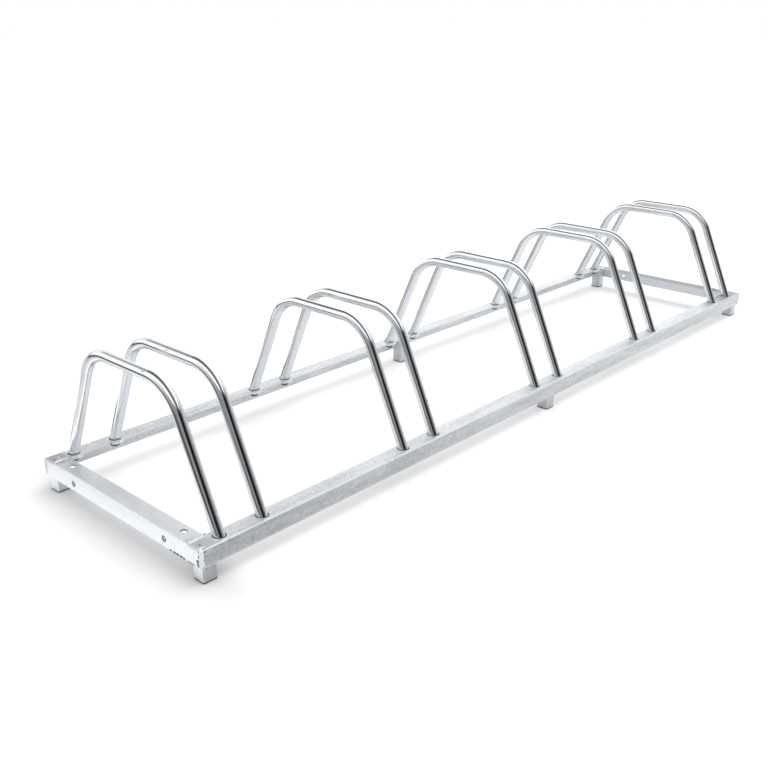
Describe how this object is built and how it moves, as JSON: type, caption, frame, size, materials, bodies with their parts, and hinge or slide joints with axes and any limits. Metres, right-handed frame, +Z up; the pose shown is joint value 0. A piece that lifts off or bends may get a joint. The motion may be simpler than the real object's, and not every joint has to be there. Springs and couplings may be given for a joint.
{
  "type": "bicycle rack",
  "caption": "Low floor-standing galvanised steel bicycle rack: an angle-iron frame on short square feet with pairs of bent tube hoops that hold the wheels",
  "frame": {"origin": "on the floor under the middle of the rack", "axes": "X along the rack, Y from front to back, Z up"},
  "size_m": [1.752, 0.43, 0.2745],
  "materials": {
    "galvanised_angle": "hot-dip galvanised rolled angle, matt grey with a faint mottle",
    "galvanised_tube": "galvanised round tube, smooth and half glossy",
    "galvanised_square_tube": "galvanised square tube, matt grey",
    "zinc_coated_weld": "weld metal under zinc, lumpy",
    "black_plastic": "moulded black polyethylene"
  },
  "bodies": {
    "root": {"front_rail": "galvanised_angle", "rear_rail": "galvanised_angle", "left_end_rail": "galvanised_angle", "right_end_rail": "galvanised_angle", "slot_1_left_hoop": "galvanised_tube", "slot_1_right_hoop": "galvanised_tube", "slot_2_left_hoop": "galvanised_tube", "slot_2_right_hoop": "galvanised_tube", "slot_3_left_hoop": "galvanised_tube", "slot_3_right_hoop": "galvanised_tube", "slot_4_left_hoop": "galvanised_tube", "slot_4_right_hoop": "galvanised_tube", "slot_5_left_hoop": "galvanised_tube", "slot_5_right_hoop": "galvanised_tube", "front_left_foot": "galvanised_square_tube", "front_middle_foot": "galvanised_square_tube", "front_right_foot": "galvanised_square_tube", "rear_left_foot": "galvanised_square_tube", "rear_middle_foot": "galvanised_square_tube", "rear_right_foot": "galvanised_square_tube", "front_left_glide": "black_plastic", "front_middle_glide": "black_plastic", "front_right_glide": "black_plastic", "rear_left_glide": "black_plastic", "rear_middle_glide": "black_plastic", "rear_right_glide": "black_plastic", "corner_welds": "zinc_coated_weld", "front_hoop_welds": "zinc_coated_weld", "rear_hoop_welds": "zinc_coated_weld", "foot_welds": "zinc_coated_weld"}
  },
  "joints": []
}
